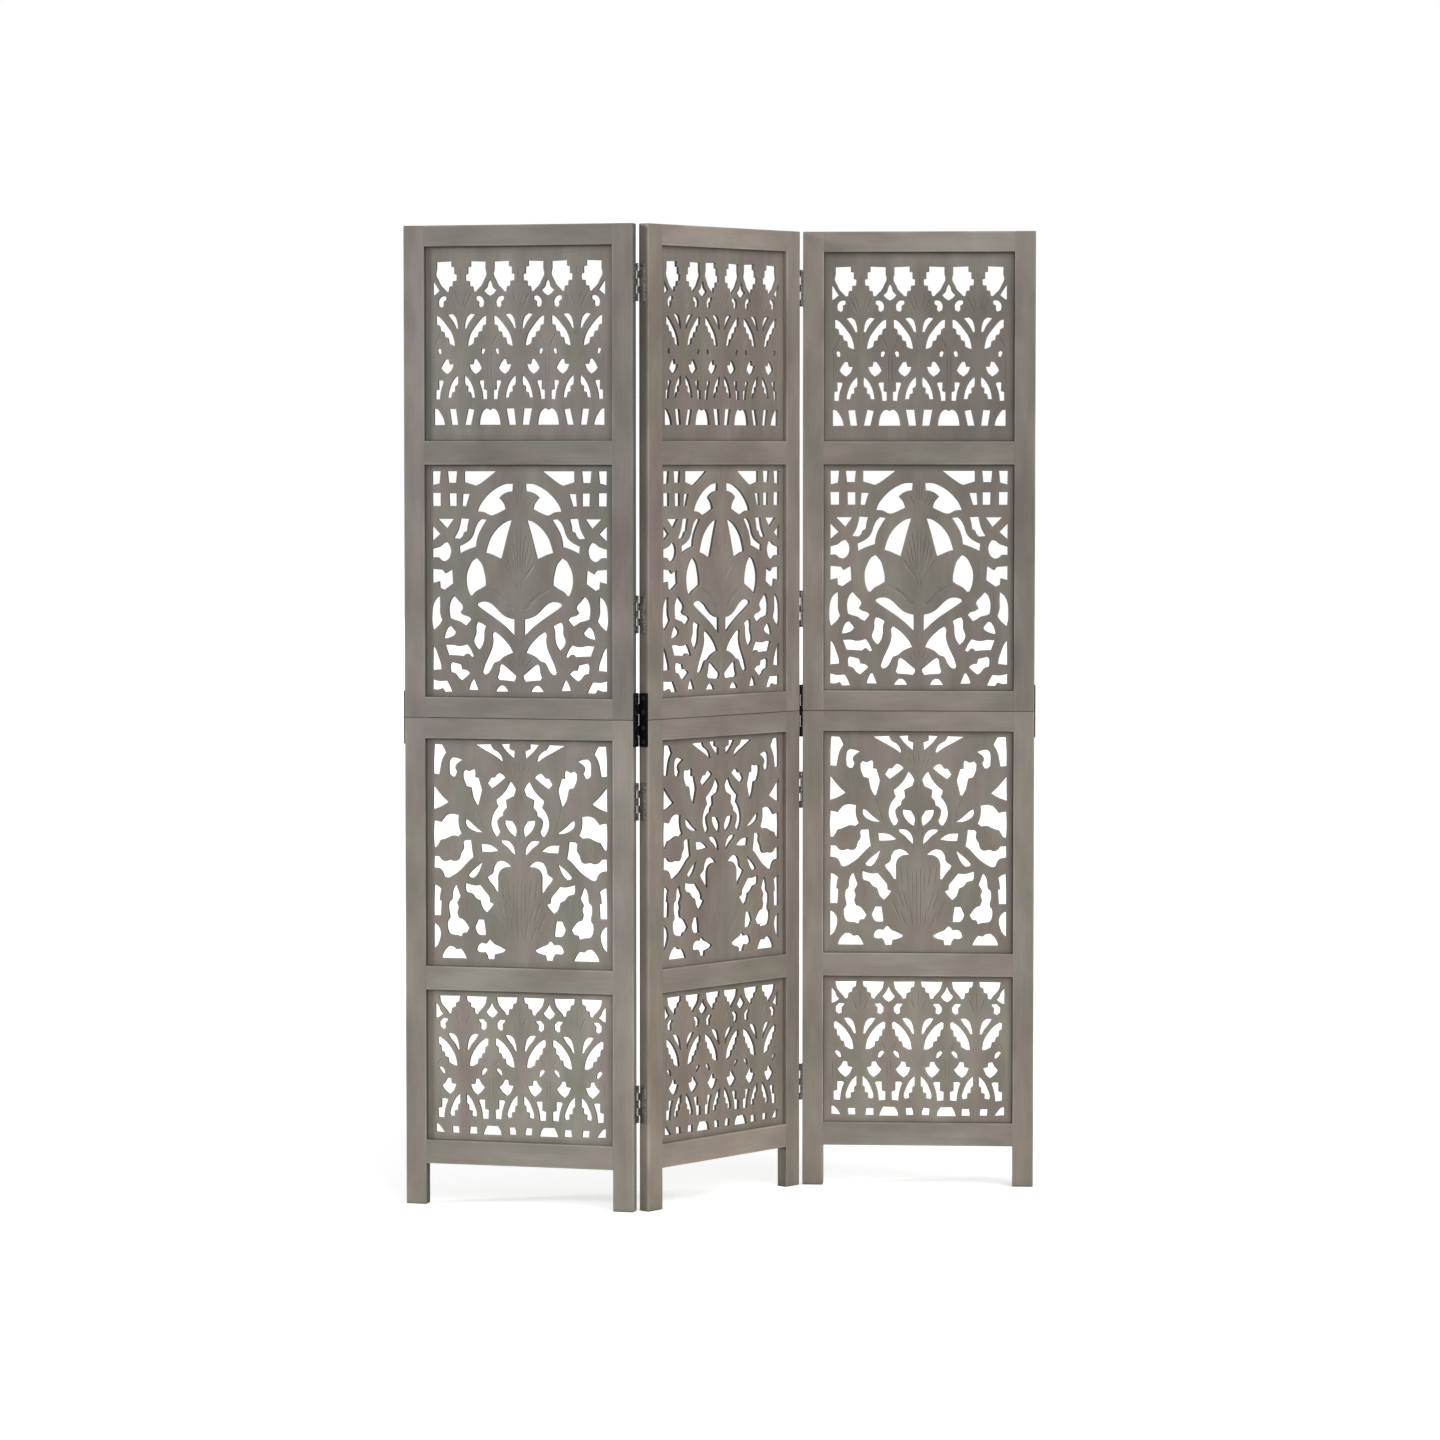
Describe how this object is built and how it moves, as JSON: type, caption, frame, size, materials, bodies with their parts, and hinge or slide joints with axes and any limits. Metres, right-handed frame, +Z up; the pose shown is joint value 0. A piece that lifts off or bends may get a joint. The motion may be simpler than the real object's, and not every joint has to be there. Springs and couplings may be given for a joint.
{
  "type": "folding jali screen",
  "caption": "Free-standing folding room divider: wooden leaves with pierced and carved fretwork boards, joined by butt hinges so that they fold in a zigzag.",
  "frame": {"origin": "middle of the standing screen's footprint, on the floor", "axes": "+Z up, +X to the right along the room side of the screen, +Y away from the viewer to the back"},
  "size_m": [1.081, 0.3326, 1.65],
  "materials": {
    "frame_wood": "taupe wash over open grain, matt, worn paler on the arrises",
    "carved_wood": "the same taupe wash on fretwork boards, matt, worn paler on cut edges and veins",
    "black_steel": "black paint on flat steel plates, satin",
    "hinge_metal": "dull antiqued steel"
  },
  "bodies": {
    "left_leaf": {"left_bottom_rail": "frame_wood", "left_fold_end_knuckle_hinge_leaves": "hinge_metal", "left_fold_hinge_pins": "hinge_metal", "left_left_joining_plate": "black_steel", "left_lower_frieze_board": "carved_wood", "left_lower_left_stile": "frame_wood", "left_lower_mid_rail": "frame_wood", "left_lower_right_stile": "frame_wood", "left_lower_top_rail": "frame_wood", "left_right_joining_plate": "black_steel", "left_top_rail": "frame_wood", "left_tulip_board": "carved_wood", "left_upper_bottom_rail": "frame_wood", "left_upper_frieze_board": "carved_wood", "left_upper_left_stile": "frame_wood", "left_upper_mid_rail": "frame_wood", "left_upper_right_stile": "frame_wood", "left_vase_board": "carved_wood"},
    "centre_leaf": {"centre_bottom_rail": "frame_wood", "centre_left_joining_plate": "black_steel", "centre_lower_frieze_board": "carved_wood", "centre_lower_left_stile": "frame_wood", "centre_lower_mid_rail": "frame_wood", "centre_lower_right_stile": "frame_wood", "centre_lower_top_rail": "frame_wood", "centre_right_joining_plate": "black_steel", "centre_top_rail": "frame_wood", "centre_tulip_board": "carved_wood", "centre_upper_bottom_rail": "frame_wood", "centre_upper_frieze_board": "carved_wood", "centre_upper_left_stile": "frame_wood", "centre_upper_mid_rail": "frame_wood", "centre_upper_right_stile": "frame_wood", "centre_vase_board": "carved_wood", "left_fold_mid_knuckle_hinge_leaves": "hinge_metal", "right_fold_end_knuckle_hinge_leaves": "hinge_metal", "right_fold_hinge_pins": "hinge_metal"},
    "right_leaf": {"right_bottom_rail": "frame_wood", "right_fold_mid_knuckle_hinge_leaves": "hinge_metal", "right_left_joining_plate": "black_steel", "right_lower_frieze_board": "carved_wood", "right_lower_left_stile": "frame_wood", "right_lower_mid_rail": "frame_wood", "right_lower_right_stile": "frame_wood", "right_lower_top_rail": "frame_wood", "right_right_joining_plate": "black_steel", "right_top_rail": "frame_wood", "right_tulip_board": "carved_wood", "right_upper_bottom_rail": "frame_wood", "right_upper_frieze_board": "carved_wood", "right_upper_left_stile": "frame_wood", "right_upper_mid_rail": "frame_wood", "right_upper_right_stile": "frame_wood", "right_vase_board": "carved_wood"}
  },
  "joints": [
    {"name": "left_fold", "type": "hinge", "parent": "centre_leaf", "child": "left_leaf", "pos_m": [-0.14556, -0.14666, 0.825], "axis": [0, 0, 1], "range_deg": [-115.1, 64.9]},
    {"name": "right_fold", "type": "hinge", "parent": "centre_leaf", "child": "right_leaf", "pos_m": [0.13572, 0.14555, 0.825], "axis": [0, 0, 1], "range_deg": [-126, 54]}
  ]
}
